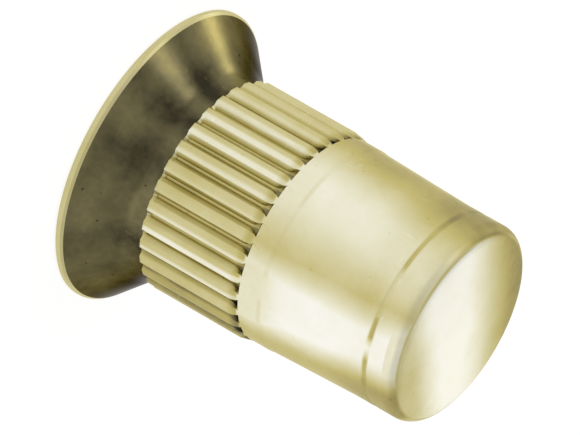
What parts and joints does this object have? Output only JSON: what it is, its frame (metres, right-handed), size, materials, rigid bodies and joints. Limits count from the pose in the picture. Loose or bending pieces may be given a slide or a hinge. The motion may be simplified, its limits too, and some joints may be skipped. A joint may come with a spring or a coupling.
{
  "type": "rivet nut",
  "caption": "Closed-end rivet nut with a countersunk head, a straight-knurled barrel and a blind internal screw thread.",
  "frame": {"origin": "centre of the head's front face, which is the face that the nut stands on", "axes": "+Z along the nut's axis, from the mouth for the screw to the closed end"},
  "size_m": [0.0124, 0.0124, 0.015],
  "materials": {
    "yellow_zinc": "yellow-passivated zinc plate on steel, satin"
  },
  "bodies": {
    "root": {"rivet_nut": "yellow_zinc"}
  },
  "joints": []
}
